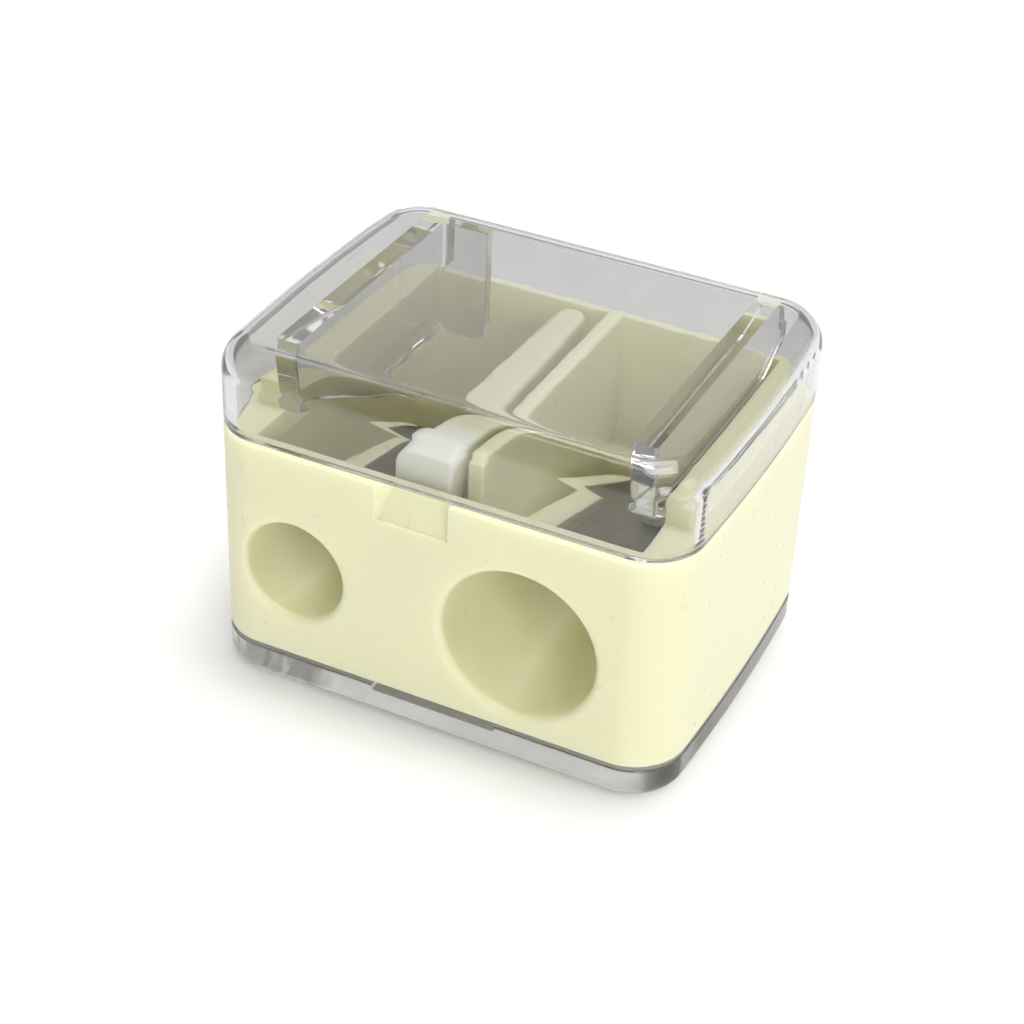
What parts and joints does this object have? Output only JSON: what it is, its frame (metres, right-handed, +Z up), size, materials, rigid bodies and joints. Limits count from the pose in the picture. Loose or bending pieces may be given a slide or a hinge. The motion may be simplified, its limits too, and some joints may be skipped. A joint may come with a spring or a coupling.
{
  "type": "pencil sharpener",
  "caption": "Cosmetic pencil sharpener: opaque body with a small and a large tapered bore, screwed-on blades, a cleaning pick, a clear lift-off lid and a clear base cover.",
  "frame": {"origin": "on the surface the sharpener stands on, under the middle of its footprint", "axes": "+Z up, +X along the long side to the right and +Y to the back when the pencil bores face the viewer"},
  "size_m": [0.0362, 0.028, 0.0262],
  "materials": {
    "clear_plastic": "clear, polished",
    "cream_plastic": "smooth moulded, soft gloss",
    "natural_plastic": "translucent, unpigmented, satin",
    "blade_steel": "ground",
    "screw_steel": "plated"
  },
  "bodies": {
    "base": {"base_cover": "clear_plastic"},
    "housing": {"housing": "cream_plastic", "small_blade": "blade_steel", "large_blade": "blade_steel", "small_blade_screw": "screw_steel", "large_blade_screw": "screw_steel"},
    "lid": {"lid": "clear_plastic"},
    "pick": {"cleaning_pick": "natural_plastic"}
  },
  "joints": [
    {"name": "housing_off_base", "type": "slide", "parent": "base", "child": "housing", "axis": [0, 0, 1], "range_m": [0, 0.008]},
    {"name": "lid_off", "type": "slide", "parent": "housing", "child": "lid", "axis": [0, 0, 1], "range_m": [0, 0.015]},
    {"name": "pick_out", "type": "slide", "parent": "housing", "child": "pick", "axis": [0, 0, 1], "range_m": [0, 0.0032]}
  ]
}
